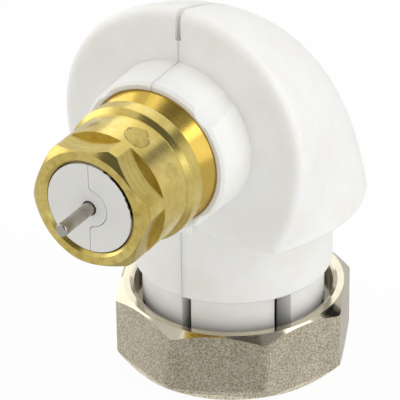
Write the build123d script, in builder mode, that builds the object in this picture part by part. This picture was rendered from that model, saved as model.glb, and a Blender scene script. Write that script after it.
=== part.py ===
from build123d import *
from math import asin, cos, radians, sin
import os

# Right-angle adapter that carries a thermostatic head sideways on an M30 x 1.5 radiator valve.
# Frame: millimetres, +Z up along the union nut, the sensor neck points to -Y.
# The origin is the middle of the face that the valve's neck bears against.
# A push on the drive pin (+Y) turns the bell crank, which pushes the tappet down (-Z).

os.makedirs("parts", exist_ok=True)

# ---------------------------------------------------------------- clearances
seam_gap = 0.10             # between the two halves of a split shell
seat_clearance = 0.10       # fixed pieces, flat seats and sockets
running_clearance = 0.05    # radial, on every shaft that turns or slides
press_clearance = 0.02      # radial, where a pin or bush is pressed in
contact_gap = 0.05          # roller to button, roller to tappet, stops
free_gap = 0.30             # round pieces that only need to pass

# ---------------------------------------------------------------- union nut
nut_across_flats = 36.0
nut_sides = 8
nut_corner_round = 1.8      # on the upright corners
nut_thread_wall = 3.0       # flat to the major diameter of the M30 x 1.5 thread
nut_thread_length = 5.6     # below the origin
nut_mouth_chamfer = 0.5
nut_relief_depth = 0.3      # run-out above the thread, room for the barbs
nut_lip_overhang = 2.5      # from the counterbore inwards
nut_lip_thickness = 1.3
nut_rim_wall = 2.05         # flat to counterbore
nut_counterbore_depth = 2.8
nut_axial_play = 0.25
nut_ring_inset = 0.3        # flat to the edge where the top ring meets the corner chamfer
nut_corner_drop = 1.35      # how far that chamfer falls at a corner
nut_bore_bevel = 0.7        # bevel between the top ring and the counterbore
nut_bore_bevel_drop = 0.35

# ---------------------------------------------------------------- barrel with snap fingers
barb_height = 1.4
barb_catch = 0.5            # how far the barbs reach under the nut's lip
barb_lead = 0.5
finger_groove_play = 0.35   # radial, lip to groove
finger_wall = 0.9           # behind the groove
finger_shoulder_play = 0.3
barrel_side_gap = 1.35      # radial, counterbore to barrel
barrel_wall = 1.2
barrel_step_width = 1.2
barrel_step_z = 10.8
barrel_step_bevel = 0.3
slot_top_drop = 0.25        # slots end just below the step
seam_slot_width = 1.7
side_slot_width = 2.75
side_slot_angle = 27.4      # off the X axis
slot_corner_radius = 0.6
thrust_ring_thickness = 0.5
thrust_ring_split = 2.0
ledge_z = 11.0
ledge_thickness = 2.0

# ---------------------------------------------------------------- dome
neck_axis_z = 39.5          # height of the sensor axis above the origin
dome_face_y = -15.7         # flat front face
dome_radius = 21.6          # round the sensor axis and round the nut axis
dome_drop = 16.5            # from the sensor axis down to the flat base
dome_waist = 1.25           # how much the radius shrinks half way round the quarter turn
dome_mid_centre = 14.5      # from the inner corner line to the circle's centre there
dome_corner_inset = 5.95    # how far the sides draw in towards the corner line
dome_wall = 2.0
dome_front_edge = 1.4       # rounding of the front rim
dome_base_edge = 0.7
corner_run_out = 3.0        # the section planes turn about a line this far outside the corner
seam_groove_width = 1.0
seam_groove_depth = 1.1
seam_groove_reach = 5.6     # down the front face from its rim
seam_rib_half_width = 2.2   # short rib from the collar down to the dome's base
seam_rib_depth = 0.6
peg_radius = 1.5
peg_length = 2.5
peg_boss_radius = 3.0
peg_depth = 4.3             # under the outside of the waist
peg_angles = (22.0, 47.0, 72.0)

# ---------------------------------------------------------------- collar round the neck
collar_front_y = -23.4
collar_front_radius = 12.3
collar_rear_radius = 12.55
collar_edge = 0.5
collar_recess_gap = 0.05    # radial, round the brass
collar_recess_depth = 2.3
collar_mouth_bevel = 0.15
scallop_radius = 3.2
scallop_depth_front = 0.85
scallop_depth_rear = 0.25
scallop_angles = (45.0, 135.0, 225.0, 315.0)
front_boss_end_y = -12.7

# ---------------------------------------------------------------- brass neck
neck_tip_y = -41.3
neck_bore_radius = 7.35
neck_bore_chamfer = 0.5
neck_face_radius = 9.1
neck_face_chamfer = 1.1
neck_body_radius = 10.25
neck_flats_across = 18.5
neck_flats_count = 6
neck_flats_length = 4.7
neck_flats_turn = 8.2       # how the spanner flats happen to stand
neck_land_front_y = -29.5
neck_land_radius = 10.95
neck_land_width = 2.2
neck_groove_radius = 9.6
neck_groove_flank = 0.3     # steep front flank
neck_groove_floor = 1.0
neck_groove_end_y = -23.2
neck_seat_radius = 10.2
neck_rear_y = -15.2
neck_rib_depth = 1.2        # the housing's rib that holds the neck
neck_rib_front_y = -20.1
neck_rib_width = 1.8

# ---------------------------------------------------------------- carrier and pin guide
guide_side_gap = 0.2        # radial, in the neck's bore
guide_face_recess = 0.3
guide_hole_radius = 1.2
guide_key_radius = 3.0      # the left half's key wraps the pin
guide_key_fillet = 0.8
guide_bush_radius = 2.4
guide_bush_set_back = 7.3   # from the neck's tip
guide_bush_length = 10.0
cage_half_width = 8.0
cage_wall = 2.0
cage_side_play = 0.3
carrier_tube_radius = 8.3
carrier_tube_bore = 6.3

# ---------------------------------------------------------------- drive pin, crank and rollers
pin_radius = 1.0
pin_protrusion = 7.3
pin_tip_round = 0.35
button_radius = 2.5
button_thickness = 2.5
button_socket = 1.5
stroke = 3.0
crank_arm = 8.0
crank_hub_radius = 3.6
crank_hub_half_width = 4.0
crank_arm_half_width = 2.2
crank_root_half = 2.8
crank_tip_half = 1.4
crank_neck = 4.6            # where the flared root meets the slim arm
crank_slot_half = 1.15
roller_radius = 2.2
roller_half_width = 1.0
roller_room = 0.5           # round a roller, in the fork and in the pocket
axle_radius = 0.6
pivot_radius = 1.5
pivot_half_length = 7.8
bush_radius = 2.2

# ---------------------------------------------------------------- tappet, spring and support ring
tappet_radius = 3.5
tappet_nose_radius = 2.6
tappet_nose_length = 3.6
tappet_flange_radius = 5.6
tappet_flange_thickness = 1.5
tappet_foot_z = 6.2
pad_head_radius = 2.8
pad_head_thickness = 1.2
pad_shank_radius = 1.5
pad_shank_length = 3.0
guide_tube_base_z = 20.6
spring_mean_radius = 4.9
spring_wire = 1.0
spring_turns = 3.5
ring_wall = 3.1
ring_cavity_height = 6.0
ring_web = 2.0
ring_hole_radius = 3.9
edge_break = 0.3

# ---------------------------------------------------------------- worked out from the above
half_gap = seam_gap / 2
nut_half = nut_across_flats / 2
nut_thread_radius = nut_half - nut_thread_wall
nut_relief_radius = nut_thread_radius + nut_relief_depth
nut_counterbore_radius = nut_half - nut_rim_wall
nut_ring_radius = nut_half - nut_ring_inset
nut_lip_radius = nut_counterbore_radius - nut_lip_overhang
barb_radius = nut_lip_radius + barb_catch
finger_groove_radius = nut_lip_radius - finger_groove_play
finger_bore_radius = finger_groove_radius - finger_wall
barrel_lower_radius = nut_counterbore_radius - barrel_side_gap
barrel_upper_radius = barrel_lower_radius + barrel_step_width
barrel_bore_radius = barrel_lower_radius - barrel_wall
lip_bottom_z = barb_height + contact_gap + thrust_ring_thickness + nut_axial_play
lip_top_z = lip_bottom_z + nut_lip_thickness
nut_top_z = lip_top_z + nut_counterbore_depth
shoulder_z = lip_top_z + finger_shoulder_play
slot_top_z = barrel_step_z - slot_top_drop
ledge_top_z = ledge_z + ledge_thickness
dome_base_z = neck_axis_z - dome_drop
dome_joint_z = dome_base_z + dome_base_edge     # the barrel ends inside the dome's base
dome_mid_radius = dome_radius - dome_waist
peg_distance = dome_mid_centre + dome_mid_radius - peg_depth
collar_recess_radius = neck_land_radius + collar_recess_gap
guide_radius = neck_bore_radius - guide_side_gap
guide_bush_front_y = neck_tip_y + guide_bush_set_back
neck_boss_radius = neck_seat_radius + dome_wall
neck_rim_rear_y = collar_front_y + collar_recess_depth - seat_clearance
neck_rib_rear_y = neck_rib_front_y + neck_rib_width
neck_rib_radius = neck_seat_radius + seat_clearance - neck_rib_depth
guide_bush_rear_y = guide_bush_front_y + guide_bush_length
crank_rest = asin(stroke / 2 / crank_arm)       # radians either side of square
pivot_y = -crank_arm
pivot_z = neck_axis_z - crank_arm
pin_roller_y = pivot_y - crank_arm * sin(crank_rest)
tappet_roller_z = pivot_z + crank_arm * sin(crank_rest)
roller_space = roller_radius + roller_room
button_back_y = pin_roller_y - roller_radius - contact_gap
button_front_y = button_back_y - button_thickness
tappet_top_z = tappet_roller_z - roller_radius - contact_gap
tappet_flange_z = guide_tube_base_z - contact_gap - tappet_flange_thickness
carrier_flange_y = neck_rear_y + seat_clearance
cage_front_y = front_boss_end_y + seat_clearance
cage_floor_z = dome_base_z + dome_wall + seat_clearance
pocket_half_width = crank_hub_half_width + cage_side_play
pocket_floor_z = tappet_roller_z - stroke - roller_space
pocket_front_y = cage_front_y + roller_room
pocket_back_y = pivot_y + crank_arm + roller_space
pocket_top_z = pivot_z + crank_arm + roller_space
pocket_brow_y = pivot_y + roller_space          # top of the slope over the crank
pocket_brow_z = tappet_roller_z + roller_space  # bottom of that slope
ring_radius = finger_bore_radius - seat_clearance
ring_cavity_radius = ring_radius - ring_wall
ring_top_z = ledge_z - seat_clearance
ring_seat_z = ring_cavity_height + ring_web

sensor_axis = Axis((0, 0, neck_axis_z), (0, 1, 0))
sensor_plane = Plane(origin=(0, 0, neck_axis_z), x_dir=(0, 1, 0), z_dir=(1, 0, 0))
crank_plane = Plane(
    origin=(0, pivot_y, pivot_z),
    x_dir=(0, cos(crank_rest), sin(crank_rest)),
    z_dir=(1, 0, 0),
)


def facing(y):
    """Plane square to the sensor axis, its origin on that axis, looking back along +Y."""
    return Plane(origin=(0, y, neck_axis_z), x_dir=(-1, 0, 0), z_dir=(0, 1, 0))


def save(piece, name):
    """Label a finished piece and write it."""
    piece.label = name
    export_step(piece, f"parts/{name}.step")


# ================================================================ dome sections
def dome_section(turn, radius, centre):
    """D-shaped section on the plane turned about a line just outside the inner corner."""
    centre += corner_run_out * (sin(radians(turn)) + cos(radians(turn)))
    corner = radius - dome_corner_inset
    start = corner_run_out / 3
    plane = Plane(
        origin=(0, dome_face_y - corner_run_out, dome_base_z - corner_run_out),
        x_dir=(1, 0, 0),
        z_dir=(0, -cos(radians(turn)), sin(radians(turn))),
    )
    with BuildSketch(plane) as section:
        with BuildLine():
            Line((-corner, start), (corner, start))
            TangentArc((radius, centre), (corner, start), tangent=(0, -1))
            ThreePointArc((radius, centre), (0, centre + radius), (-radius, centre))
            TangentArc((-radius, centre), (-corner, start), tangent=(0, -1))
        make_face()
    return section.sketch


def dome_form(inset):
    """The dome, or its inside when inset, lofted round the quarter turn and cut flat in front."""
    with BuildPart() as form:
        loft([
            dome_section(0, dome_radius - inset, dome_drop),
            dome_section(45, dome_mid_radius - inset, dome_mid_centre),
            dome_section(90, dome_radius - inset, -dome_face_y),
        ])
        split(bisect_by=Plane.XZ.offset(-(dome_face_y + inset)), keep=Keep.BOTTOM)
    return form.part


def dome_core(inset):
    """The inside of the dome, its base cut flat too."""
    with BuildPart() as core:
        add(dome_form(inset))
        split(bisect_by=Plane.XY.offset(dome_base_z + inset), keep=Keep.TOP)
    return core.part


# ================================================================ housing, whole
def peg_place(angle):
    """Where a locating peg stands, as (y, z), round the quarter turn."""
    y = dome_face_y + peg_distance * cos(radians(angle))
    z = dome_base_z + peg_distance * sin(radians(angle))
    return y, z


def parting_plane(x):
    """Plane square to X at the given distance from the parting plane."""
    return Plane(origin=(x, 0, 0), x_dir=(0, 1, 0), z_dir=(1, 0, 0))


# Ribs across the inside of the dome, one for each peg, trimmed to its wall.
with BuildPart() as peg_bosses:
    with BuildSketch(parting_plane(-dome_radius)):
        with Locations([peg_place(angle) for angle in peg_angles]):
            Circle(peg_boss_radius)
    extrude(amount=2 * dome_radius)
    add(dome_core(dome_wall / 2), mode=Mode.INTERSECT)

# The groove over the seam: a thin slab from which the dome's core is taken away.
with BuildPart() as seam_groove:
    with BuildSketch(parting_plane(-seam_groove_width / 2)):
        with BuildLine():
            Polyline(
                (pivot_y, dome_base_z + seam_groove_depth),
                (2 * dome_radius, dome_base_z + seam_groove_depth),
                (2 * dome_radius, neck_axis_z + 2 * dome_radius),
                (2 * dome_face_y, neck_axis_z + 2 * dome_radius),
                (2 * dome_face_y, neck_axis_z + dome_radius - seam_groove_reach),
                (pivot_y, neck_axis_z + dome_radius - seam_groove_reach),
                close=True,
            )
        make_face()
    extrude(amount=seam_groove_width)
    add(dome_core(seam_groove_depth), mode=Mode.SUBTRACT)

with BuildPart() as housing:
    add(dome_form(0))
    front_rim = housing.faces().filter_by(Plane.XZ).sort_by(Axis.Y)[0].edges()
    fillet(front_rim.filter_by(Axis.X, reverse=True), radius=dome_front_edge)
    split(bisect_by=Plane.XY.offset(dome_base_z), keep=Keep.TOP)
    fillet(housing.faces().filter_by(Plane.XY).sort_by(Axis.Z)[0].edges(), radius=dome_base_edge)

    # Outside of the barrel: barb, groove for the nut's lip, lower and upper diameter.
    with BuildSketch(Plane.XZ):
        with BuildLine():
            Polyline(
                (0, 0),
                (barb_radius - barb_lead, 0),
                (barb_radius, barb_lead),
                (barb_radius, barb_height),
                (finger_groove_radius, barb_height),
                (finger_groove_radius, shoulder_z),
                (barrel_lower_radius, shoulder_z),
                (barrel_lower_radius, barrel_step_z),
                (barrel_upper_radius - barrel_step_bevel, barrel_step_z),
                (barrel_upper_radius, barrel_step_z + barrel_step_bevel),
                (barrel_upper_radius, dome_joint_z),
                (0, dome_joint_z),
                close=True,
            )
        make_face()
    revolve(axis=Axis.Z)

    # Outside of the collar.
    with BuildSketch(sensor_plane):
        with BuildLine():
            Polyline(
                (collar_front_y, 0),
                (collar_front_y, collar_front_radius - collar_edge),
                (collar_front_y + collar_edge, collar_front_radius),
                (dome_face_y, collar_rear_radius),
                (dome_face_y + dome_wall / 2, collar_rear_radius),
                (dome_face_y + dome_wall / 2, 0),
                close=True,
            )
        make_face()
    revolve(axis=sensor_axis)

    # Short rib under the collar.
    with BuildSketch(Plane.XY.offset(dome_base_z)):
        with Locations((0, dome_face_y)):
            Rectangle(2 * seam_rib_half_width, 2 * seam_rib_depth)
    extrude(amount=neck_axis_z - dome_base_z - neck_boss_radius)

    # Hollow: inside of the dome, barrel bore and finger bore, with the ledge left between them.
    add(dome_core(dome_wall), mode=Mode.SUBTRACT)
    with BuildSketch(Plane.XY.offset(ledge_top_z)):
        Circle(barrel_bore_radius)
    extrude(amount=cage_floor_z - ledge_top_z, mode=Mode.SUBTRACT)
    with BuildSketch(Plane.XY):
        Circle(finger_bore_radius)
    extrude(amount=ledge_z, mode=Mode.SUBTRACT)
    with BuildSketch(Plane.XY.offset(ledge_z)):
        Circle(carrier_tube_radius + seat_clearance)
    extrude(amount=ledge_thickness, mode=Mode.SUBTRACT)

    # Inner boss behind the collar, peg bosses, then the seat bored for the brass neck.
    with BuildSketch(facing(dome_face_y + dome_wall / 2)):
        Circle(neck_boss_radius)
    extrude(amount=front_boss_end_y - dome_face_y - dome_wall / 2)
    add(peg_bosses.part)
    with BuildSketch(sensor_plane):
        with BuildLine():
            Polyline(
                (collar_front_y, 0),
                (collar_front_y, collar_recess_radius + collar_mouth_bevel),
                (collar_front_y + collar_mouth_bevel, collar_recess_radius),
                (collar_front_y + collar_recess_depth, collar_recess_radius),
                (collar_front_y + collar_recess_depth, neck_seat_radius + seat_clearance),
                (neck_rib_front_y, neck_seat_radius + seat_clearance),
                (neck_rib_front_y, neck_rib_radius),
                (neck_rib_rear_y, neck_rib_radius),
                (neck_rib_rear_y, neck_seat_radius + seat_clearance),
                (front_boss_end_y, neck_seat_radius + seat_clearance),
                (front_boss_end_y, 0),
                close=True,
            )
        make_face()
    revolve(axis=sensor_axis, mode=Mode.SUBTRACT)

    # Finger slots: two on the seam, four with their walls parallel to the mould's draw.
    with BuildSketch(Plane.XZ.offset(-2 * dome_radius)) as seam_slot:
        with Locations((0, slot_top_z / 2)):
            Rectangle(seam_slot_width, slot_top_z)
        fillet(seam_slot.vertices().group_by(Axis.Y)[-1], radius=slot_corner_radius)
    extrude(amount=4 * dome_radius, mode=Mode.SUBTRACT)
    with BuildSketch(parting_plane(-dome_radius)) as side_slots:
        slot_y = barrel_lower_radius * sin(radians(side_slot_angle))
        with Locations((-slot_y, slot_top_z / 2), (slot_y, slot_top_z / 2)):
            Rectangle(side_slot_width, slot_top_z)
        fillet(side_slots.vertices().group_by(Axis.Y)[-1], radius=slot_corner_radius)
    extrude(amount=2 * dome_radius, mode=Mode.SUBTRACT)

    # Scallops round the collar, deeper at its front edge.
    for angle in scallop_angles:
        ends = []
        for y, radius, depth in (
            (collar_front_y, collar_front_radius, scallop_depth_front),
            (dome_face_y, collar_rear_radius, scallop_depth_rear),
        ):
            with BuildSketch(facing(y)) as end:
                with PolarLocations(radius - depth + scallop_radius, 1, start_angle=angle):
                    Circle(scallop_radius)
            ends.append(end.sketch)
        loft(ends, mode=Mode.SUBTRACT)

    add(seam_groove.part, mode=Mode.SUBTRACT)

with BuildPart() as housing_left:
    add(housing.part)
    split(bisect_by=parting_plane(-half_gap), keep=Keep.BOTTOM)
    with BuildSketch(parting_plane(-half_gap)):
        with Locations([peg_place(angle) for angle in peg_angles]):
            Circle(peg_radius)
    extrude(amount=peg_length)
    chamfer(housing_left.faces().sort_by(Axis.X)[-len(peg_angles):].edges(), length=edge_break)
save(housing_left.part, "housing_left")

with BuildPart() as housing_right:
    add(housing.part)
    split(bisect_by=parting_plane(half_gap), keep=Keep.TOP)
    with BuildSketch(parting_plane(half_gap)):
        with Locations([peg_place(angle) for angle in peg_angles]):
            Circle(peg_radius + running_clearance)
    extrude(amount=peg_length, mode=Mode.SUBTRACT)
save(housing_right.part, "housing_right")


# ================================================================ brass neck
with BuildPart() as brass_neck:
    with BuildSketch(sensor_plane):
        with BuildLine():
            land_rise = neck_land_radius - neck_body_radius
            land_rear_y = neck_land_front_y + neck_land_width
            floor_y = land_rear_y + neck_groove_flank
            Polyline(
                (neck_tip_y, neck_bore_radius + neck_bore_chamfer),
                (neck_tip_y, neck_face_radius),
                (neck_tip_y + neck_face_chamfer, neck_body_radius),
                (neck_land_front_y - land_rise, neck_body_radius),
                (neck_land_front_y, neck_land_radius),
                (land_rear_y, neck_land_radius),
                (floor_y, neck_groove_radius),
                (floor_y + neck_groove_floor, neck_groove_radius),
                (neck_groove_end_y, neck_land_radius),
                (neck_rim_rear_y, neck_land_radius),
                (neck_rim_rear_y, neck_seat_radius),
                (neck_rib_front_y - seat_clearance, neck_seat_radius),
                (neck_rib_front_y - seat_clearance, neck_rib_radius - seat_clearance),
                (neck_rib_rear_y + seat_clearance, neck_rib_radius - seat_clearance),
                (neck_rib_rear_y + seat_clearance, neck_seat_radius),
                (neck_rear_y, neck_seat_radius),
                (neck_rear_y, neck_bore_radius),
                (neck_tip_y + neck_bore_chamfer, neck_bore_radius),
                close=True,
            )
        make_face()
    revolve(axis=sensor_axis)
    with BuildSketch(facing(neck_tip_y)):
        Circle(neck_land_radius)
        RegularPolygon(
            neck_flats_across / 2,
            neck_flats_count,
            major_radius=False,
            rotation=-neck_flats_turn,
            mode=Mode.SUBTRACT,
        )
    extrude(amount=neck_flats_length, mode=Mode.SUBTRACT)
save(brass_neck.part, "brass_neck")


# ================================================================ union nut and its thrust ring
with BuildPart() as union_nut:
    with BuildSketch(Plane.XY.offset(-nut_thread_length)) as octagon:
        RegularPolygon(nut_half, nut_sides, major_radius=False)
        fillet(octagon.vertices(), radius=nut_corner_round)
    extrude(amount=nut_top_z + nut_thread_length)
    with BuildSketch(Plane.XZ):
        with BuildLine():
            corner_radius = nut_half / cos(radians(180 / nut_sides))
            Polyline(
                (0, nut_top_z),
                (nut_ring_radius, nut_top_z),
                (corner_radius, nut_top_z - nut_corner_drop),
                (corner_radius, nut_corner_drop - nut_thread_length),
                (nut_ring_radius, -nut_thread_length),
                (0, -nut_thread_length),
                close=True,
            )
        make_face()
    revolve(axis=Axis.Z, mode=Mode.INTERSECT)
    with BuildSketch(Plane.XZ):
        with BuildLine():
            Polyline(
                (0, -nut_thread_length),
                (nut_thread_radius + nut_mouth_chamfer, -nut_thread_length),
                (nut_thread_radius, nut_mouth_chamfer - nut_thread_length),
                (nut_thread_radius, 0),
                (nut_relief_radius, 0),
                (nut_relief_radius, lip_bottom_z),
                (nut_lip_radius, lip_bottom_z),
                (nut_lip_radius, lip_top_z),
                (nut_counterbore_radius, lip_top_z),
                (nut_counterbore_radius, nut_top_z - nut_bore_bevel_drop),
                (nut_counterbore_radius + nut_bore_bevel, nut_top_z),
                (0, nut_top_z),
                close=True,
            )
        make_face()
    revolve(axis=Axis.Z, mode=Mode.SUBTRACT)
save(union_nut.part, "union_nut")

with BuildPart() as thrust_ring:
    with BuildSketch(Plane.XY.offset(barb_height + contact_gap)):
        Circle(nut_relief_radius - 2 * seat_clearance)
        Circle(finger_groove_radius + seat_clearance, mode=Mode.SUBTRACT)
        with Locations((-finger_groove_radius, 0)):
            Rectangle(thrust_ring_split * 2, thrust_ring_split, mode=Mode.SUBTRACT)
    extrude(amount=thrust_ring_thickness)
save(thrust_ring.part, "thrust_ring")


# ================================================================ carrier, in two halves
def left_side(grow):
    """All the space left of the seam, with the key that wraps the pin, grown by a gap."""
    reach = neck_axis_z - neck_tip_y
    with BuildPart() as side:
        with BuildSketch(parting_plane(grow)):
            with Locations((0, neck_axis_z)):
                Rectangle(2 * reach, 2 * reach)
        extrude(amount=-reach)
        with BuildSketch(facing(neck_tip_y)) as keyed:
            with Locations((guide_radius - grow, 0)):
                Rectangle(2 * guide_radius, 4 * guide_radius)
            Circle(guide_key_radius + grow)
            fillet(keyed.vertices().sort_by_distance((-grow, 0))[:2], radius=guide_key_fillet)
        extrude(amount=guide_bush_rear_y + seat_clearance + grow - neck_tip_y)
    return side.part


with BuildPart() as carrier:
    guide_face_y = neck_tip_y + guide_face_recess
    with BuildSketch(facing(guide_face_y)):
        Circle(guide_radius)
    extrude(amount=carrier_flange_y - guide_face_y)
    with BuildSketch(facing(carrier_flange_y)):
        Circle(neck_seat_radius)
    extrude(amount=cage_front_y - carrier_flange_y)

    # Cage round the crank, with a slope where the dome curves over it.
    with BuildSketch(parting_plane(-cage_half_width)):
        with BuildLine():
            Polyline(
                (cage_front_y, cage_floor_z),
                (pocket_back_y + cage_wall, cage_floor_z),
                (pocket_back_y + cage_wall, pocket_brow_z + cage_wall / 2),
                (pocket_brow_y + cage_wall / 2, pocket_top_z + cage_wall),
                (cage_front_y, pocket_top_z + cage_wall),
                close=True,
            )
        make_face()
    extrude(amount=2 * cage_half_width)
    with BuildSketch(parting_plane(-pocket_half_width)):
        with BuildLine():
            Polyline(
                (pocket_front_y, pocket_floor_z),
                (pocket_back_y, pocket_floor_z),
                (pocket_back_y, pocket_brow_z),
                (pocket_brow_y, pocket_top_z),
                (pocket_front_y, pocket_top_z),
                close=True,
            )
        make_face()
    extrude(amount=2 * pocket_half_width, mode=Mode.SUBTRACT)

    # Tube that stands in the support ring, bored for the spring and the tappet.
    with BuildSketch(Plane.XY.offset(ring_seat_z + seat_clearance)):
        Circle(carrier_tube_radius)
    extrude(amount=cage_floor_z - ring_seat_z - seat_clearance)
    with BuildSketch(Plane.XY.offset(ring_seat_z)):
        Circle(carrier_tube_bore)
    extrude(amount=guide_tube_base_z - ring_seat_z, mode=Mode.SUBTRACT)
    with BuildSketch(Plane.XY.offset(guide_tube_base_z)):
        Circle(tappet_radius + running_clearance)
    extrude(amount=pocket_floor_z - guide_tube_base_z, mode=Mode.SUBTRACT)

    # Bores on the sensor axis: pin, its bush and the button's recess.
    with BuildSketch(facing(guide_face_y)):
        Circle(guide_hole_radius)
    extrude(amount=pocket_front_y - guide_face_y, mode=Mode.SUBTRACT)
    with BuildSketch(facing(guide_bush_front_y)):
        Circle(guide_bush_radius + press_clearance)
    extrude(amount=guide_bush_length, mode=Mode.SUBTRACT)
    with BuildSketch(facing(button_front_y - contact_gap)):
        Circle(button_radius + free_gap)
    extrude(amount=pocket_front_y - button_front_y + contact_gap, mode=Mode.SUBTRACT)

    # Seats for the pivot pin in both cheeks.
    with BuildSketch(crank_plane.offset(-cage_half_width)):
        Circle(pivot_radius + press_clearance)
    extrude(amount=2 * cage_half_width, mode=Mode.SUBTRACT)

with BuildPart() as carrier_left:
    add(carrier.part)
    add(left_side(-half_gap), mode=Mode.INTERSECT)
save(carrier_left.part, "carrier_left")

with BuildPart() as carrier_right:
    add(carrier.part)
    add(left_side(half_gap), mode=Mode.SUBTRACT)
save(carrier_right.part, "carrier_right")

with BuildPart() as pin_guide_bush:
    with BuildSketch(facing(guide_bush_front_y)):
        Circle(guide_bush_radius)
        Circle(pin_radius + running_clearance, mode=Mode.SUBTRACT)
    extrude(amount=guide_bush_length)
save(pin_guide_bush.part, "pin_guide_bush")


# ================================================================ drive pin and its button
with BuildPart() as drive_pin:
    pin_tip_y = neck_tip_y - pin_protrusion
    with BuildSketch(facing(pin_tip_y)):
        Circle(pin_radius)
    extrude(amount=button_front_y + button_socket - contact_gap - pin_tip_y)
    fillet(drive_pin.edges().sort_by(Axis.Y)[0], radius=pin_tip_round)
save(drive_pin.part, "drive_pin")

with BuildPart() as pin_button:
    with BuildSketch(facing(button_front_y)):
        Circle(button_radius)
    extrude(amount=button_thickness)
    chamfer(pin_button.edges(), length=edge_break)
    with BuildSketch(facing(button_front_y)):
        Circle(pin_radius + press_clearance)
    extrude(amount=button_socket, mode=Mode.SUBTRACT)
save(pin_button.part, "pin_button")


# ================================================================ bell crank and what it carries
pin_arm_plane = Plane(
    origin=crank_plane.origin,
    x_dir=crank_plane.y_dir,
    z_dir=crank_plane.z_dir,
)
arm_planes = (crank_plane, pin_arm_plane)

with BuildPart() as bell_crank:
    with BuildSketch(crank_plane.offset(-crank_hub_half_width)):
        Circle(crank_hub_radius)
    extrude(amount=2 * crank_hub_half_width)
    for arm_plane in arm_planes:
        with BuildSketch(arm_plane.offset(-crank_arm_half_width)):
            Circle(crank_root_half)
            with Locations((crank_neck, 0)):
                Circle(crank_tip_half)
            make_hull()
            with Locations((crank_arm / 2, 0)):
                SlotCenterToCenter(crank_arm, 2 * crank_tip_half)
        extrude(amount=2 * crank_arm_half_width)
    with BuildSketch(crank_plane.offset(-crank_arm_half_width)):
        with BuildLine():
            Polyline((0, 0), (crank_neck, crank_tip_half), (crank_tip_half, crank_neck), close=True)
        make_face()
    extrude(amount=2 * crank_arm_half_width)
    for arm_plane in arm_planes:
        with BuildSketch(arm_plane.offset(-crank_slot_half)):
            with Locations((crank_arm, 0)):
                Circle(roller_space)
        extrude(amount=2 * crank_slot_half, mode=Mode.SUBTRACT)
        with BuildSketch(arm_plane.offset(-crank_arm_half_width)):
            with Locations((crank_arm, 0)):
                Circle(axle_radius + press_clearance)
        extrude(amount=2 * crank_arm_half_width, mode=Mode.SUBTRACT)
    with BuildSketch(crank_plane.offset(-crank_hub_half_width)):
        Circle(bush_radius + press_clearance)
    extrude(amount=2 * crank_hub_half_width, mode=Mode.SUBTRACT)
save(bell_crank.part, "bell_crank")

for arm_plane, name in zip(arm_planes, ("tappet_roller", "pin_roller")):
    with BuildPart() as roller:
        with BuildSketch(arm_plane.offset(-roller_half_width)):
            with Locations((crank_arm, 0)):
                Circle(roller_radius)
                Circle(axle_radius + running_clearance, mode=Mode.SUBTRACT)
        extrude(amount=2 * roller_half_width)
    save(roller.part, name)
    with BuildPart() as axle:
        with BuildSketch(arm_plane.offset(-crank_arm_half_width)):
            with Locations((crank_arm, 0)):
                Circle(axle_radius)
        extrude(amount=2 * crank_arm_half_width)
    save(axle.part, f"{name}_axle")

with BuildPart() as pivot_bush:
    with BuildSketch(crank_plane.offset(-crank_hub_half_width)):
        Circle(bush_radius)
        Circle(pivot_radius + running_clearance, mode=Mode.SUBTRACT)
    extrude(amount=2 * crank_hub_half_width)
save(pivot_bush.part, "pivot_bush")

with BuildPart() as pivot_pin:
    with BuildSketch(crank_plane.offset(-pivot_half_length)):
        Circle(pivot_radius)
    extrude(amount=2 * pivot_half_length)
    chamfer(pivot_pin.edges().filter_by(GeomType.CIRCLE), length=edge_break)
save(pivot_pin.part, "pivot_pin")


# ================================================================ tappet, pad, spring and support ring
with BuildPart() as tappet:
    with BuildSketch(Plane.XZ):
        with BuildLine():
            nose_z = tappet_top_z - tappet_nose_length
            flange_top_z = tappet_flange_z + tappet_flange_thickness
            Polyline(
                (0, tappet_foot_z),
                (tappet_radius, tappet_foot_z),
                (tappet_radius, tappet_flange_z),
                (tappet_flange_radius, tappet_flange_z),
                (tappet_flange_radius, flange_top_z),
                (tappet_radius, flange_top_z),
                (tappet_radius, nose_z),
                (tappet_nose_radius, nose_z),
                (tappet_nose_radius, tappet_top_z),
                (0, tappet_top_z),
                close=True,
            )
        make_face()
    revolve(axis=Axis.Z)
    with BuildSketch(Plane.XY.offset(tappet_foot_z)):
        Circle(pad_shank_radius + press_clearance)
    extrude(amount=pad_shank_length + contact_gap, mode=Mode.SUBTRACT)
save(tappet.part, "tappet")

with BuildPart() as tappet_pad:
    with BuildSketch(Plane.XY.offset(tappet_foot_z)):
        Circle(pad_shank_radius)
    extrude(amount=pad_shank_length)
    with BuildSketch(Plane.XY.offset(tappet_foot_z - pad_head_thickness)):
        Circle(pad_head_radius)
    extrude(amount=pad_head_thickness)
    fillet(tappet_pad.edges().group_by(Axis.Z)[0], radius=edge_break)
save(tappet_pad.part, "tappet_pad")

with BuildPart() as tappet_spring:
    with BuildLine() as coil:
        spring_foot_z = ring_seat_z + contact_gap + spring_wire / 2
        spring_rise = tappet_flange_z - contact_gap - spring_wire / 2 - spring_foot_z
        Helix(spring_rise / spring_turns, spring_rise, spring_mean_radius, center=(0, 0, spring_foot_z))
    with BuildSketch(Plane(origin=coil.line @ 0, z_dir=coil.line % 0)):
        Circle(spring_wire / 2)
    sweep(is_frenet=True)
save(tappet_spring.part, "tappet_spring")

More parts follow.
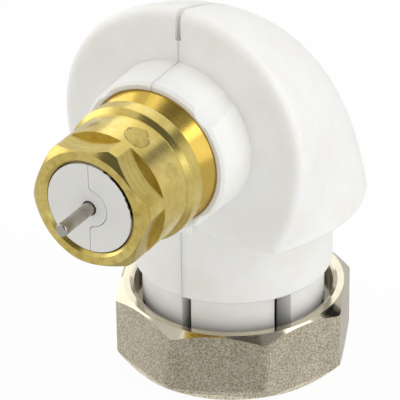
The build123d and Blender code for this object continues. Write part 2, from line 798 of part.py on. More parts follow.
with BuildPart() as support_ring:
    with BuildSketch(Plane.XY):
        Circle(ring_radius)
    extrude(amount=ring_top_z)
    with BuildSketch(Plane.XY):
        Circle(ring_cavity_radius)
    extrude(amount=ring_cavity_height, mode=Mode.SUBTRACT)
    with BuildSketch(Plane.XY.offset(ring_cavity_height)):
        Circle(ring_hole_radius)
    extrude(amount=ring_web, mode=Mode.SUBTRACT)
    with BuildSketch(Plane.XY.offset(ring_seat_z)):
        Circle(carrier_tube_radius + seat_clearance)
    extrude(amount=ring_top_z - ring_seat_z, mode=Mode.SUBTRACT)
save(support_ring.part, "support_ring")
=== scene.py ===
from math import cos, pi, radians, sin

import bmesh
import bpy
from mathutils import Matrix, Vector


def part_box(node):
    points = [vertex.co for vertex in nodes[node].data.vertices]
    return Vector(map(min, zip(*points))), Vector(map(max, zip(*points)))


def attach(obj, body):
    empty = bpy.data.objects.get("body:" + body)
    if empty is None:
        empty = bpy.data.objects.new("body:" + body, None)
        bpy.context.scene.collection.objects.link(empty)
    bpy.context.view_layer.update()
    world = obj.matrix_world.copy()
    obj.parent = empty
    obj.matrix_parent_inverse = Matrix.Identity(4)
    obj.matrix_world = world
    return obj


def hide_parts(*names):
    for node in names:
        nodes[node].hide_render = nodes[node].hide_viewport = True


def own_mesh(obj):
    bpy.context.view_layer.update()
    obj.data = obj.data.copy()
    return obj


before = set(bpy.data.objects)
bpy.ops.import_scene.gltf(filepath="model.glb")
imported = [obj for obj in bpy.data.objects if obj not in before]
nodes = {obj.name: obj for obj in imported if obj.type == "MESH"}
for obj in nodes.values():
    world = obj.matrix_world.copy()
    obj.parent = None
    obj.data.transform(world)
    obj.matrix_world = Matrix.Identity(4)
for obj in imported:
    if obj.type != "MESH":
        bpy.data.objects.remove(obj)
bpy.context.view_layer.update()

mm = 0.001
scene = bpy.context.scene

# places that everything else is measured from
pinLow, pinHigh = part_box("drive_pin")
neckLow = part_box("brass_neck")[0]
nutLow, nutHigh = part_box("union_nut")
sensorAxisZ = (pinLow.z + pinHigh.z) / 2
neckTip = Vector((0, neckLow.y, sensorAxisZ))
origin = Vector((0, 0, 0))
alongX, alongY, alongZ = Vector((1, 0, 0)), Vector((0, 1, 0)), Vector((0, 0, 1))
print("frame loaded:", len(nodes), "solids, sensor axis at", round(sensorAxisZ / mm, 2), "mm")


def linear(hexColour):
    # sRGB hex to the linear values that shaders take
    parts = [int(hexColour[i:i + 2], 16) / 255 for i in (1, 3, 5)]
    return tuple(p / 12.92 if p <= 0.04045 else ((p + 0.055) / 1.055) ** 2.4 for p in parts) + (1.0,)


def addNode(tree, kind, values=None):
    # one node; a value is one of its settings, an input's value, or a socket to link to an input
    node = tree.nodes.new(kind)
    for key, value in (values or {}).items():
        if isinstance(value, bpy.types.NodeSocket):
            tree.links.new(value, node.inputs[key])
        elif isinstance(key, int) or key in node.inputs:
            node.inputs[key].default_value = value
        else:
            setattr(node, key, value)
    return node


def newMaterial(name, shaderValues):
    material = bpy.data.materials.new(name)
    material.use_nodes = True
    tree = material.node_tree
    shader = tree.nodes["Principled BSDF"]
    for key, value in shaderValues.items():
        shader.inputs[key].default_value = value
    return material, tree, shader


def connect(tree, shader, colour, roughness, normal):
    # the three inputs that every material on the part drives
    for name, socket in (("Base Color", colour), ("Roughness", roughness), ("Normal", normal)):
        tree.links.new(socket, shader.inputs[name])


def calculate(tree, operation, first, second):
    # arithmetic on two values, each a socket or a number
    return addNode(tree, "ShaderNodeMath", {"operation": operation, 0: first, 1: second}).outputs[0]


def product(tree, first, *others):
    for other in others:
        first = calculate(tree, "MULTIPLY", first, other)
    return first


def total(tree, first, *others):
    for other in others:
        first = calculate(tree, "ADD", first, other)
    return first


def vectorMath(tree, operation, first, second=origin):
    # a vector, or one number where the operation measures something
    node = addNode(tree, "ShaderNodeVectorMath", {"operation": operation, 0: first, 1: second})
    return node.outputs["Value" if operation in ("DOT_PRODUCT", "LENGTH", "DISTANCE") else "Vector"]


def remap(tree, value, fromLow, fromHigh, toLow=0.0, toHigh=1.0):
    # a smooth step from one pair of values to another, clamped
    return addNode(tree, "ShaderNodeMapRange", {
        "interpolation_type": "SMOOTHSTEP",
        0: value, 1: fromLow, 2: fromHigh, 3: toLow, 4: toHigh}).outputs[0]


def mixNumbers(tree, share, first, second):
    # mixes two numbers by a share
    return addNode(tree, "ShaderNodeMix", {"data_type": "FLOAT", 0: share, 2: first, 3: second}).outputs[0]


def tint(tree, share, first, second):
    # mixes two colours, each a hex or a socket, by a share
    first, second = (linear(colour) if isinstance(colour, str) else colour for colour in (first, second))
    return addNode(tree, "ShaderNodeMix", {"data_type": "RGBA", 0: share, 6: first, 7: second}).outputs[2]


def mixShaders(tree, share, first, second):
    # mixes what two shaders give, by a share
    values = {0: share, 1: first.outputs[0], 2: second.outputs[0]}
    return addNode(tree, "ShaderNodeMixShader", values)


def noise(tree, point, size, detail=3.0):
    # cloudy noise whose blotches are about `size` metres across, 0 to 1
    return addNode(tree, "ShaderNodeTexNoise", {
        "Scale": 1 / size, "Detail": detail, "Roughness": 0.6, "Vector": point}).outputs["Fac"]


def lineNoise(tree, distance, spacing, detail, roughness):
    # noise that changes with one distance only, which makes lines
    return addNode(tree, "ShaderNodeTexNoise", {
        "noise_dimensions": "1D", "Scale": 1 / spacing, "Detail": detail, "Roughness": roughness,
        "W": distance}).outputs["Fac"]


def cells(tree, point, size, feature="F1"):
    # cells about `size` metres across: the distance from their middles, or from their edges
    return addNode(tree, "ShaderNodeTexVoronoi", {
        "feature": feature, "Scale": 1 / size, "Vector": point}).outputs["Distance"]


def dent(tree, height, depth, under=None):
    # bump of a given depth in metres, over an earlier one if there is one
    values = {"Strength": 1.0, "Distance": depth, "Height": height}
    if under:
        values["Normal"] = under
    return addNode(tree, "ShaderNodeBump", values).outputs["Normal"]


def pointFrom(tree, centre):
    # object coordinates measured from a place on the part
    return vectorMath(tree, "SUBTRACT", addNode(tree, "ShaderNodeTexCoord").outputs["Object"], centre)


def turnedPlace(tree, centre, axis):
    # for a turned piece: distance along its axis, from its axis, and how squarely the face looks along it
    point = pointFrom(tree, centre)
    along = vectorMath(tree, "DOT_PRODUCT", point, axis)
    radius = vectorMath(tree, "LENGTH", vectorMath(tree, "MULTIPLY", point, Vector((1, 1, 1)) - axis))
    normal = addNode(tree, "ShaderNodeTexCoord").outputs["Normal"]
    squareness = calculate(tree, "ABSOLUTE", vectorMath(tree, "DOT_PRODUCT", normal, axis), 0)
    return point, along, radius, squareness


def toolMarks(tree, along, radius, squareness, pitch):
    # fine lines round a turned piece: they step along the axis, or outwards on an end face
    travel = mixNumbers(tree, remap(tree, squareness, 0.75, 0.95), along, radius)
    return lineNoise(tree, travel, pitch, 4.0, 0.7)


def setSurface(tree, shader, output="Material Output"):
    tree.links.new(shader.outputs[0], tree.nodes[output].inputs["Surface"])


def dress(material, *names):
    for name in names:
        slots = nodes[name].data.materials
        slots.clear()
        slots.append(material)


def objectFrom(name, mesh):
    # an object in the scene, made from a finished bmesh
    data = bpy.data.meshes.new(name)
    mesh.to_mesh(data)
    mesh.free()
    made = bpy.data.objects.new(name, data)
    scene.collection.objects.link(made)
    return made


# housing: white glass-free polyamide 6, injection moulded in a spark-eroded mould; gives a soft satin white
polyamide = {
    "colour": "#f7f7f4",
    "cooler": "#f3f1ec",        # where the melt cooled slower
    "cloud": 9 * mm,
    "roughness": (0.34, 0.46),
    "grain": 0.22 * mm,         # the mould's texture
    "grainDepth": 0.0035 * mm,
    "sink": 7 * mm,             # slow waves over the ribs inside
    "sinkDepth": 0.015 * mm,
    "ior": 1.53,
    "glow": 0.5,                # share of the light that passes into the plastic
    "glowDepth": 1.5 * mm,      # and how far it goes
    "glowSpread": (1.0, 0.9, 0.8),          # red goes the furthest
}


def makePolyamide(name, look):
    material, tree, shader = newMaterial(name, {
        "IOR": look["ior"], "Subsurface Weight": look["glow"], "Subsurface Scale": look["glowDepth"],
        "Subsurface Radius": look["glowSpread"]})
    point = pointFrom(tree, origin)
    cloud = noise(tree, point, look["cloud"], 4.0)
    colour = tint(tree, remap(tree, cloud, 0.35, 0.7), look["colour"], look["cooler"])
    grain = noise(tree, point, look["grain"], 2.0)
    rough = remap(tree, grain, 0.3, 0.7, *look["roughness"])
    waves = dent(tree, noise(tree, point, look["sink"], 1.0), look["sinkDepth"])
    connect(tree, shader, colour, rough, dent(tree, grain, look["grainDepth"], waves))
    return material


# insert and cage: natural grey acetal, smooth moulded; a dark rim painted along its edge is painted shade
# of the gap round it
insert = {
    "colour": "#eeeeea",
    "cooler": "#e6e5e1",
    "cloud": 5 * mm,
    "roughness": (0.36, 0.5),
    "grain": 0.3 * mm,
    "grainDepth": 0.003 * mm,
    "ior": 1.48,
    "glow": 0.08,
    "glowDepth": 0.4 * mm,
    "speck": "#8d8a85",         # dust
    "speckSize": 1.1 * mm,
    "dustPatch": 3 * mm,
    # painted shade of the gap between the insert and the brass bore
    "gapShade": "#35241a",
    "gapShadeGloss": 0.15,        # how much smoother it is
    "gapShadeTo": 7.15 * mm,      # the insert's edge
    "gapShadeBorder": (0.62 * mm, 0.76 * mm),
    "gapShadeSide": Vector((0.84, 0, 0.54)),
    "sideFrom": (5.0 * mm, 6.8 * mm),       # towards that side it grows wider
    "sideReach": 0.4 * mm,
    "ragged": 0.7 * mm,
    "raggedReach": 0.9 * mm,
    "frontOnly": (1.2 * mm, 0.8 * mm),      # behind the neck's tip
}


def makeInsert(name, look):
    material, tree, shader = newMaterial(name, {
        "IOR": look["ior"], "Subsurface Weight": look["glow"], "Subsurface Scale": look["glowDepth"]})
    point, along, radius = turnedPlace(tree, neckTip, alongY)[:3]
    cloud = noise(tree, point, look["cloud"], 4.0)
    body = tint(tree, cloud, look["colour"], look["cooler"])
    dust = product(tree, remap(tree, cells(tree, point, look["speckSize"]), 0.07, 0.02),
                   remap(tree, noise(tree, point, look["dustPatch"], 1.0), 0.6, 0.66))
    body = tint(tree, dust, body, look["speck"])
    # painted shade of the gap round the insert: only on the front face, near its edge, wider on one side,
    # with a ragged inner border
    side = remap(tree, vectorMath(tree, "DOT_PRODUCT", point, look["gapShadeSide"]), *look["sideFrom"])
    ragged = noise(tree, point, look["ragged"], 5.0)
    edge = total(tree, radius, product(tree, side, look["sideReach"]),
                 product(tree, ragged, look["raggedReach"]))
    gapShade = product(tree, remap(tree, edge, *(look["gapShadeTo"] + far for far in look["gapShadeBorder"])),
                     remap(tree, along, *look["frontOnly"]))
    rough = calculate(tree, "SUBTRACT", remap(tree, cloud, 0.3, 0.7, *look["roughness"]),
                      product(tree, gapShade, look["gapShadeGloss"]))
    connect(tree, shader, tint(tree, gapShade, body, look["gapShade"]), rough,
           dent(tree, noise(tree, point, look["grain"]), look["grainDepth"]))
    return material


# rollers, button and tappet: unpigmented acetal, turned from rod; gives a waxy ivory with faint lathe lines
acetal = {
    "colour": "#e9e6dc",
    "shade": "#dedacd",
    "cloud": 3 * mm,
    "pitch": 0.18 * mm,
    "markDepth": 0.003 * mm,
    "roughness": (0.3, 0.42),
    "ior": 1.48,
    "glow": 0.12,
    "glowDepth": 0.4 * mm,
}


def makeAcetal(name, look, centre, axis):
    material, tree, shader = newMaterial(name, {
        "IOR": look["ior"], "Subsurface Weight": look["glow"], "Subsurface Scale": look["glowDepth"]})
    point, along, radius, squareness = turnedPlace(tree, centre, axis)
    marks = toolMarks(tree, along, radius, squareness, look["pitch"])
    colour = tint(tree, noise(tree, point, look["cloud"]), look["colour"], look["shade"])
    rough = remap(tree, marks, 0.3, 0.7, *look["roughness"])
    connect(tree, shader, colour, rough, dent(tree, marks, look["markDepth"]))
    return material


# support ring: made black as painted shade for what is seen through the barrel's slots; as glass-filled
# polyamide, moulded, short fibres at the skin give a dry, speckled black
slotShadeMoulding = {
    "colour": "#14120f",
    "fibre": "#3a342c",
    "fibreSize": 0.25 * mm,
    "fibrePatch": 0.8 * mm,
    "roughness": (0.5, 0.7),
    "grain": 0.15 * mm,
    "grainDepth": 0.01 * mm,
    "ior": 1.53,
}


def makeBlackMoulding(name, look):
    material, tree, shader = newMaterial(name, {"IOR": look["ior"]})
    point = pointFrom(tree, origin)
    fibres = remap(tree, cells(tree, point, look["fibreSize"], "DISTANCE_TO_EDGE"), 0.12, 0.02)
    fibres = product(tree, fibres, remap(tree, noise(tree, point, look["fibrePatch"]), 0.45, 0.65))
    colour = tint(tree, fibres, look["colour"], look["fibre"])
    rough = remap(tree, fibres, 0.0, 1.0, *look["roughness"])
    connect(tree, shader, colour, rough, dent(tree, noise(tree, point, look["grain"]), look["grainDepth"]))
    return material


# neck: free-cutting brass, lathe turned and milled, never plated
# gives bright gold with fine rings and old stains
turnedBrass = {
    "colour": "#dfc872",
    "pale": "#e9d685",
    "deep": "#ccae54",          # where it has begun to tarnish
    "tarnishSize": 5 * mm,
    "pitch": 0.1 * mm,          # feed of the lathe tool
    "markDepth": 0.0005 * mm,
    "roughness": (0.18, 0.28),
    "mottle": "#ab9149",
    "mottleSize": 1.3 * mm,
    "mottleShare": 0.15,
    "speckSize": 0.35 * mm,
    "speckShare": 0.22,
    "faceRoughness": 0.42,      # the end face is sawn and brushed, not finish turned
    "faceMottle": 0.35,         # and has this much more mottle
    "faceDepth": 0.01 * mm,
}
# bushes: oil-filled sintered bronze; gives a redder, browner metal
sinteredBronze = dict(turnedBrass, colour="#b98a4e", pale="#c79b60", deep="#8f6431", faceRoughness=0.4)

# what the cutter and the years left on the neck, and a painted reflection on its groove's cone, measured
# from its tip
neckMarks = {
    "bodyRadius": 10.25 * mm,
    "ragged": 1.4 * mm,
    "coneReflection": "#d3b04e",          # painted reflection: the deep gold the groove's cone takes from light bounced between the brass and the collar
    "coneReflectionShare": 0.8,
    "coneFrom": (15.1 * mm, 15.4 * mm),
    "coneTo": (18.3 * mm, 18.0 * mm),
    # smears and dried drops: millimetres behind the tip, degrees from the top, radius in millimetres
    "smears": (
        {"behind": 7.4, "angle": -39.0, "size": 3.2, "colour": "#c5b78d", "fill": 0.5},
        {"behind": 7.3, "angle": -19.0, "size": 0.7, "colour": "#94845a", "fill": 0.6},
    ),
    "smearReach": 1.8 * mm,
    "smearBorder": (1.5 * mm, 0.5 * mm),
    "smearRoughness": 0.2,
    "drops": (
        {"behind": 7.55, "angle": 22.5, "size": 1.95, "edge": 0.85, "fill": 0.42},
        {"behind": 8.45, "angle": 63.0, "size": 1.2, "edge": 0.3, "fill": 0.28},
        {"behind": 13.4, "angle": 78.7, "size": 0.3, "edge": 0.5, "fill": 0.6},
        {"behind": 15.3, "angle": 85.0, "size": 0.3, "edge": 0.5, "fill": 0.6},
    ),
    "dropWobble": 0.9,          # of its radius
    "dropFill": "#8a7a4a",
    "dropEdge": "#5d4c22",
    "dropBorder": 0.1 * mm,
    "edgeInside": 0.16 * mm,
    "edgeOutside": 0.14 * mm,
    "dropRoughness": 0.3,
    "milled": 0.3 * mm,         # feed of the cutter on the spanner flats
    "milledBow": 1.4,
    "milledShade": "#ab9149",
    "milledShare": 0.4,
    "flatsWithin": (10.22 * mm, 10.1 * mm),     # from the neck's axis
    "flatsBeyond": (9.0 * mm, 9.2 * mm),
    "flatsTo": (5.1 * mm, 4.9 * mm),
}


def fromSpot(tree, point, spot, bodyRadius):
    # distance from a spot on the neck's body
    angle = radians(spot["angle"])
    place = Vector((bodyRadius * sin(angle), spot["behind"] * mm, bodyRadius * cos(angle)))
    return vectorMath(tree, "DISTANCE", point, place)


def addNeckMarks(tree, marks, point, along, radius, mottle, colour, rough):
    # painted reflection: the groove's cone is tinted a deeper gold
    cone = product(tree, remap(tree, along, *marks["coneFrom"]), remap(tree, along, *marks["coneTo"]))
    colour = tint(tree, product(tree, cone, marks["coneReflectionShare"]), colour, marks["coneReflection"])
    ragged = noise(tree, point, marks["ragged"], 4.0)
    for smear in marks["smears"]:
        reach = total(tree, fromSpot(tree, point, smear, marks["bodyRadius"]),
                      product(tree, ragged, marks["smearReach"]))
        patch = remap(tree, reach, *(smear["size"] * mm + far for far in marks["smearBorder"]))
        patch = product(tree, patch, smear["fill"])
        colour = tint(tree, patch, colour, smear["colour"])
        rough = total(tree, rough, product(tree, patch, marks["smearRoughness"]))
    patchy = remap(tree, mottle, 0.3, 0.6, 0.4, 1.0)
    for drop in marks["drops"]:
        size = drop["size"] * mm
        wobble = product(tree, calculate(tree, "SUBTRACT", ragged, 0.5), size * marks["dropWobble"])
        reach = total(tree, fromSpot(tree, point, drop, marks["bodyRadius"]), wobble)
        fill = product(tree, remap(tree, reach, size, size - marks["dropBorder"]), drop["fill"], patchy)
        colour = tint(tree, fill, colour, marks["dropFill"])
        edge = product(tree, remap(tree, reach, size - marks["edgeInside"], size),
                       remap(tree, reach, size + marks["edgeOutside"], size), drop["edge"], patchy)
        colour = tint(tree, edge, colour, marks["dropEdge"])
        rough = total(tree, rough, product(tree, fill, marks["dropRoughness"]))
    # spanner flats: curved lines of the milling cutter
    flats = product(tree, remap(tree, radius, *marks["flatsWithin"]),
                    remap(tree, radius, *marks["flatsBeyond"]), remap(tree, along, *marks["flatsTo"]))
    bow = calculate(tree, "SUBTRACT", along, product(tree, radius, marks["milledBow"]))
    cuts = remap(tree, lineNoise(tree, bow, marks["milled"], 2.0, 0.6), 0.62, 0.4)
    cuts = product(tree, cuts, flats, marks["milledShare"])
    return tint(tree, cuts, colour, marks["milledShade"]), rough


def makeTurnedBrass(name, look, centre, axis, wearAndReflection=None):
    material, tree, shader = newMaterial(name, {"Metallic": 1.0})
    point, along, radius, squareness = turnedPlace(tree, centre, axis)
    face = remap(tree, squareness, 0.8, 0.95)
    tarnish = noise(tree, point, look["tarnishSize"], 5.0)
    colour = tint(tree, remap(tree, tarnish, 0.35, 0.55), look["pale"], look["colour"])
    colour = tint(tree, remap(tree, tarnish, 0.55, 0.8), colour, look["deep"])
    mottle = noise(tree, point, look["mottleSize"], 6.0)
    mottleShare = total(tree, product(tree, face, look["faceMottle"]), look["mottleShare"])
    mottled = product(tree, remap(tree, mottle, 0.45, 0.7), mottleShare)
    colour = tint(tree, mottled, colour, look["mottle"])
    specks = remap(tree, noise(tree, point, look["speckSize"]), 0.55, 0.75)
    colour = tint(tree, product(tree, specks, look["speckShare"]), colour, look["mottle"])
    marks = toolMarks(tree, along, radius, squareness, look["pitch"])
    rough = mixNumbers(tree, face, remap(tree, marks, 0.3, 0.7, *look["roughness"]), look["faceRoughness"])
    if wearAndReflection:
        colour, rough = addNeckMarks(tree, wearAndReflection, point, along, radius, mottle, colour, rough)
    rings = dent(tree, marks, look["markDepth"])
    connect(tree, shader, colour, rough, dent(tree, product(tree, mottle, face), look["faceDepth"], rings))
    return material


# union nut: hot-stamped brass, nickel plated; stamped flats stay grainy, turned chamfers and bore shine
nickelPlate = {
    "colour": "#dad3c0",
    "shade": "#bfb6a0",
    "patch": 4 * mm,
    "pitch": 0.16 * mm,
    "markDepth": 0.0012 * mm,
    "polishRoughness": (0.07, 0.15),
    "grainLow": "#a89d82",      # dirt in the hollows of the grain
    "grainHigh": "#ebe3cf",
    "grain": 0.27 * mm,
    "grainDepth": 0.014 * mm,
    "grainRoughness": (0.22, 0.42),
    "stampedFrom": (16.4 * mm, 17.2 * mm),      # from the axis
    "counterboreShade": "#4b4132",           # painted shade down in the counterbore, where little light gets in
    "counterboreShadeShare": 0.85,
    "counterboreShadeWithin": (16.15 * mm, 16.0 * mm),       # from the axis
    "counterboreShadeBelow": (0.4 * mm, 1.2 * mm),           # from the nut's top
    "counterboreShadeWaves": 0.5 * mm,
}


def makeNickelPlate(name, look):
    material, tree, shader = newMaterial(name, {"Metallic": 1.0})
    point, along, radius, squareness = turnedPlace(tree, origin, alongZ)
    stamped = product(tree, remap(tree, squareness, 0.12, 0.02), remap(tree, radius, *look["stampedFrom"]))
    patches = noise(tree, point, look["patch"])
    grain = noise(tree, point, look["grain"], 5.0)
    uneven = product(tree, calculate(tree, "SUBTRACT", patches, 0.5), 0.5)
    clean = total(tree, remap(tree, grain, 0.35, 0.65), uneven)
    colour = tint(tree, stamped, tint(tree, patches, look["colour"], look["shade"]),
                  tint(tree, clean, look["grainLow"], look["grainHigh"]))
    # painted shade: the counterbore wall darkens below the nut's top, with a wavy upper edge
    sunk = total(tree, along, product(tree, patches, look["counterboreShadeWaves"]))
    counterboreShadeMask = product(tree, remap(tree, radius, *look["counterboreShadeWithin"]),
                   remap(tree, sunk, *(nutHigh.z - down for down in look["counterboreShadeBelow"])), look["counterboreShadeShare"])
    marks = toolMarks(tree, along, radius, squareness, look["pitch"])
    rough = mixNumbers(tree, stamped, remap(tree, marks, 0.3, 0.7, *look["polishRoughness"]),
                  remap(tree, grain, 0.35, 0.65, *look["grainRoughness"]))
    height = total(tree, product(tree, grain, 0.8), product(tree, cells(tree, point, look["grain"]), 0.5))
    rings = dent(tree, marks, look["markDepth"])
    connect(tree, shader, tint(tree, counterboreShadeMask, colour, look["counterboreShade"]), rough,
           dent(tree, product(tree, height, stamped), look["grainDepth"], rings))
    return material


# pins, axles, pad, spring, ring and crank: steels that differ in colour, polish and marks
steelLooks = {
    # stainless rod, centreless ground: grey with tight rings
    "groundStainless": {"colour": "#bfbbb4", "shade": "#a6a19a", "pitch": 0.07 * mm, "depth": 0.0012 * mm,
                        "roughness": (0.16, 0.3), "cloud": 3 * mm},
    # patented wire, drawn and coiled: darker, with an oily film
    "springWire": {"colour": "#8e8b86", "shade": "#6d6963", "pitch": 0.3 * mm, "depth": 0.0015 * mm,
                   "roughness": (0.24, 0.4), "cloud": 2 * mm},
    # sintered iron, tumbled and steam treated: dull blue-grey with open pores
    "sinteredIron": {"colour": "#7c7d7e", "shade": "#5c5c5b", "pitch": 0.5 * mm, "depth": 0.004 * mm,
                     "roughness": (0.38, 0.56), "cloud": 0.5 * mm},
}


def makeSteel(name, look, centre, axis):
    material, tree, shader = newMaterial(name, {"Metallic": 1.0})
    point, along, radius, squareness = turnedPlace(tree, centre, axis)
    marks = toolMarks(tree, along, radius, squareness, look["pitch"])
    cloud = noise(tree, point, look["cloud"], 4.0)
    colour = tint(tree, remap(tree, cloud, 0.35, 0.65), look["colour"], look["shade"])
    rough = remap(tree, marks, 0.3, 0.7, *look["roughness"])
    scratched = dent(tree, marks, look["depth"])
    connect(tree, shader, colour, rough, dent(tree, cloud, look["depth"] * 2, scratched))
    return material


groundStainless, springWire = steelLooks["groundStainless"], steelLooks["springWire"]
dress(makePolyamide("whitePolyamide", polyamide), "housing_left", "housing_right")
dress(makeInsert("greyAcetal", insert), "carrier_left", "carrier_right")
dress(makeTurnedBrass("turnedBrass", turnedBrass, neckTip, alongY, neckMarks), "brass_neck")
dress(makeTurnedBrass("sinteredBronze", sinteredBronze, neckTip, alongY), "pin_guide_bush")
dress(makeNickelPlate("nickelPlatedBrass", nickelPlate), "union_nut")
# the support ring's black stands in for the shade inside the barrel's slots
dress(makeBlackMoulding("slotShadeBlackPolyamide", slotShadeMoulding), "support_ring")
print("mouldings, neck and nut dressed")

dress(makeSteel("groundStainless", groundStainless, neckTip, alongY), "drive_pin")
dress(makeAcetal("acetalButton", acetal, neckTip, alongY), "pin_button")
dress(makeAcetal("acetalTappet", acetal, origin, alongZ), "tappet")
dress(makeSteel("tappetPadSteel", groundStainless, origin, alongZ), "tappet_pad")
dress(makeSteel("springWire", springWire, origin, alongZ), "tappet_spring", "thrust_ring")
# the crank and all that turns on it lie across the housing
for name, kind in (("bell_crank", "sinteredIron"), ("pivot_pin", "groundStainless"),
                   ("pin_roller_axle", "groundStainless"), ("tappet_roller_axle", "groundStainless")):
    low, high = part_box(name)
    dress(makeSteel(name + "Steel", steelLooks[kind], (low + high) / 2, alongX), name)
for name in ("pin_roller", "tappet_roller"):
    low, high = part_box(name)
    dress(makeAcetal(name + "Acetal", acetal, (low + high) / 2, alongX), name)
low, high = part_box("pivot_bush")
dress(makeTurnedBrass("pivotBronze", sinteredBronze, (low + high) / 2, alongX), "pivot_bush")
print("mechanism dressed")


def windProfile(name, profile, startZ, rise, turns, steps):
    # a closed outline of (radius, height) points, wound round the Z axis
    mesh = bmesh.new()
    startFace = mesh.faces.new([mesh.verts.new((radius, 0, startZ + z)) for radius, z in profile])
    count = round(steps * turns)
    bmesh.ops.spin(mesh, geom=[startFace], axis=(0, 0, 1), cent=(0, 0, 0), use_duplicate=False,
                   dvec=(0, 0, rise / count), angle=2 * pi * turns, steps=count)
    bmesh.ops.recalc_face_normals(mesh, faces=mesh.faces)
    return objectFrom(name, mesh)


# the thread in the union nut, which the solid has as a plain bore
nutThread = {
    "radius": 15.0 * mm,        # the bore, where the thread's roots are
    "crest": 14.2 * mm,
    "pitch": 1.5 * mm,
    "crestFlat": 0.19 * mm,
    "slack": 0.02 * mm,         # roots go this far into the bore, and stand this far from the pitch's ends
    "turns": 2.2,               # down to the chamfer at the mouth
    "top": -0.35 * mm,
    "steps": 72,                # to a turn
}

rootRadius = nutThread["radius"] + nutThread["slack"]
rootHalf = nutThread["pitch"] / 2 - nutThread["slack"]
crestHalf = nutThread["crestFlat"] / 2
threadProfile = ((rootRadius, rootHalf), (nutThread["crest"], crestHalf),
                 (nutThread["crest"], -crestHalf), (rootRadius, -rootHalf))
thread = windProfile("nut_thread", threadProfile, nutThread["top"] - rootHalf,
                     -nutThread["pitch"] * nutThread["turns"], nutThread["turns"], nutThread["steps"])
thread.data.materials.append(nodes["union_nut"].data.materials[0])
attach(thread, "nut")
print("thread made:", len(thread.data.polygons), "faces")

# the tappet's return spring, made again here as its own wound mesh
returnSpring = {
    "wire": 1.0 * mm,
    "turns": 3.5,
    "sides": 12,                # round the wire
    "steps": 48,                # to a turn
}

springLow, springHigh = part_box("tappet_spring")
springHeight = springHigh.z - springLow.z
wireRadius = returnSpring["wire"] / 2
coilRadius = springHigh.x - wireRadius
wireAngles = [2 * pi * side / returnSpring["sides"] for side in range(returnSpring["sides"])]
wireProfile = [(coilRadius + wireRadius * cos(angle), wireRadius * sin(angle)) for angle in wireAngles]
spring = windProfile("return_spring", wireProfile, springLow.z + wireRadius,
                     springHeight - returnSpring["wire"], returnSpring["turns"], returnSpring["steps"])
# round wire is smooth; only the two cut ends stay flat
spring.data.polygons.foreach_set("use_smooth", [len(face.vertices) == 4 for face in spring.data.polygons])
spring.data.materials.append(nodes["tappet_spring"].data.materials[0])
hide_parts("tappet_spring")
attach(spring, "housing")
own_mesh(spring)
print("return spring wound:", len(spring.data.polygons), "faces")

# camera: long lens from the front right, a little above
view = {
    "azimuth": 31.28,
    "elevation": 29.74,
    "roll": -0.8,
    "distance": 495 * mm,
    "lens": 278.1,
    "nearest": 50 * mm,
    "aimAside": -5.37 * mm,     # from the middle of the nut's top
    "aimUp": 12.34 * mm,
}

azimuth, elevation, roll = (radians(view[key]) for key in ("azimuth", "elevation", "roll"))
back = Vector((sin(azimuth) * cos(elevation), -cos(azimuth) * cos(elevation), sin(elevation)))
right = Vector((cos(azimuth), sin(azimuth), 0))
up = back.cross(right)
cameraRight = right * cos(roll) + up * sin(roll)
cameraUp = up * cos(roll) - right * sin(roll)
aim = Vector((0, 0, nutHigh.z)) + cameraRight * view["aimAside"] + cameraUp * view["aimUp"]
cameraData = bpy.data.cameras.new("camera")
cameraData.lens = view["lens"]
cameraData.clip_start = view["nearest"]
camera = bpy.data.objects.new("camera", cameraData)
camera.matrix_world = Matrix((cameraRight, cameraUp, back)).transposed().to_4x4()
camera.location = aim + back * view["distance"]
scene.collection.objects.link(camera)
scene.camera = camera
print("camera placed")


def makeCard(name, size, centre, facing, across):
    # a flat card of a given width and height; its width runs as near as it can along `across`
    mesh = bmesh.new()
    upward = facing.cross(across).normalized()
    turn = Matrix((upward.cross(facing), upward, facing)).transposed().to_4x4()
    bmesh.ops.create_grid(mesh, x_segments=1, y_segments=1, size=0.5,
                          matrix=Matrix.Translation(centre) @ turn @ Matrix.Diagonal((*size, 1, 1)))
    card = objectFrom(name, mesh)
    return card


def rays(tree, *kinds):
    # 1 for a ray of one of these kinds, else 0
    path = addNode(tree, "ShaderNodeLightPath")
    found = 0
    for kind in kinds:
        found = calculate(tree, "MAXIMUM", found, path.outputs[f"Is {kind} Ray"])
    return found


# floor: white paper that keeps a faint shadow; clear from below, so that the nut's thread can be looked at
floorLook = {
    "colour": "#f6f6f6",
    "roughness": 0.9,
    "glow": 0.94,               # how much of it is seen as plain white
    "size": (3, 3),
    "gap": 0.02 * mm,           # below the nut
}

floorPlace = Vector((0, 0, nutLow.z - floorLook["gap"]))
floor = makeCard("floor", floorLook["size"], floorPlace, alongZ, alongX)
floorPaper, tree, paper = newMaterial("floorPaper", {
    "Roughness": floorLook["roughness"], "Base Color": linear(floorLook["colour"])})
glow = addNode(tree, "ShaderNodeEmission", {"Strength": 1.0})
share = product(tree, rays(tree, "Camera", "Glossy", "Transmission"), floorLook["glow"])
upperSide = mixShaders(tree, share, paper, glow)
clear = addNode(tree, "ShaderNodeBsdfTransparent")
below = addNode(tree, "ShaderNodeNewGeometry").outputs["Backfacing"]
setSurface(tree, mixShaders(tree, below, upperSide, clear))
floor.data.materials.append(floorPaper)

# the walls light the part softly, look white, and are a pale grey in the metals
studio = {"sky": 0.57, "seen": 1.0, "wall": "#ffffff", "mirrored": "#e7e7e7"}
world = bpy.data.worlds.new("studio")
world.use_nodes = True
scene.world = world
tree = world.node_tree
sky = tree.nodes["Background"]
sky.inputs["Color"].default_value = (1, 1, 1, 1)
sky.inputs["Strength"].default_value = studio["sky"]
wallColour = tint(tree, rays(tree, "Camera"), studio["mirrored"], studio["wall"])
wall = addNode(tree, "ShaderNodeBackground", {"Strength": studio["seen"], "Color": wallColour})
backdrop = mixShaders(tree, rays(tree, "Camera", "Glossy", "Transmission"), sky, wall)
setSurface(tree, backdrop, "World Output")

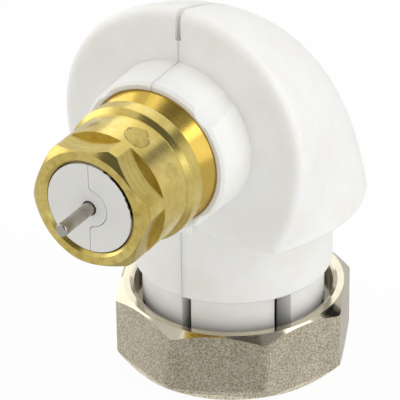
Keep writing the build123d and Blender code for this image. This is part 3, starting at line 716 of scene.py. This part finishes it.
# dark cards that the camera doesn't see: they keep dark bands in the metals, as a studio's unlit side does
middle = Vector((0, 0, 30 * mm))       # what the cards and the lamps face
flags = (
    {"name": "backFlag", "at": (0.24, 0.371, 0.264), "size": (0.1, 0.2), "dark": 1.0,
     "across": (0.84, -0.54, 0)},
    {"name": "overFlag", "at": (0.135, -0.225, 0.455), "size": (0.56, 0.66), "dark": 0.86},
    {"name": "frontFlag", "at": (0.175, -0.464, 0.09), "size": (0.4, 0.3), "dark": 0.8},
    {"name": "floorNet", "at": (0, 0, -0.0046), "size": (1.4, 1.4), "dark": 0.3},
    {"name": "frontNet", "at": (0.012, -0.038, -0.004), "size": (0.05, 0.044), "dark": 0.3,
     "across": (0.97, 0.24, 0)},
)
for flag in flags:
    place = Vector(flag["at"])
    facing = alongZ if place.z < 0 else (middle - place).normalized()       # the nets lie flat
    card = makeCard(flag["name"], flag["size"], place, facing, Vector(flag.get("across", alongX)))
    cloth, tree, black = newMaterial(flag["name"] + "Cloth", {"Base Color": (0, 0, 0, 1), "Roughness": 1.0})
    setSurface(tree, mixShaders(tree, flag["dark"], addNode(tree, "ShaderNodeBsdfTransparent"), black))
    card.data.materials.append(cloth)
    card.visible_camera = False
    card.visible_diffuse = False
    card.visible_shadow = False

lamps = (
    {"name": "keyLight", "at": (0.34, 0.12, 0.56), "size": (0.35, 0.35), "power": 0.58},
    {"name": "topLight", "at": (-0.12, -0.1, 0.6), "size": (0.35, 0.35), "power": 0.3},
    {"name": "leftLight", "at": (-0.6, 0.05, 0.26), "size": (0.6, 0.5), "power": 0.95},
    {"name": "rightLight", "at": (0.62, 0.02, 0.15), "size": (0.6, 0.35), "power": 0.4},
    {"name": "highLight", "at": (0.5, 0.05, 0.45), "size": (0.4, 0.2), "power": 0.45},
    {"name": "backLight", "at": (-0.2, 0.6, 0.42), "size": (0.5, 0.3), "power": 0.37},
    {"name": "sideLight", "at": (0.55, -0.35, 0.2), "size": (0.3, 0.3), "power": 0.2},
    {"name": "frontLight", "at": (-0.2, -0.6, 0.25), "size": (0.4, 0.4), "power": 0.15,
     "colour": "#ffecd0"},
    # these two light the plastics, and show in no metal
    {"name": "fillLight", "at": (-0.5, -0.3, 0.1), "size": (0.3, 0.3), "power": 0.3, "mirrored": False},
    {"name": "lowLight", "at": (0.6, -0.08, 0.06), "size": (0.3, 0.3), "power": 0.22, "mirrored": False},
)
for lamp in lamps:
    data = bpy.data.lights.new(lamp["name"], "AREA")
    data.shape = "RECTANGLE"
    data.size, data.size_y = lamp["size"]
    data.energy = lamp["power"]
    data.color = linear(lamp.get("colour", "#ffffff"))[:3]
    holder = bpy.data.objects.new(lamp["name"], data)
    holder.location = lamp["at"]
    holder.rotation_mode = "QUATERNION"
    holder.rotation_quaternion = (holder.location - middle).to_track_quat("Z", "Y")
    holder.visible_glossy = lamp.get("mirrored", True)
    scene.collection.objects.link(holder)
scene.view_settings.view_transform = "Standard"
print("studio lit by", len(lamps), "lamps")
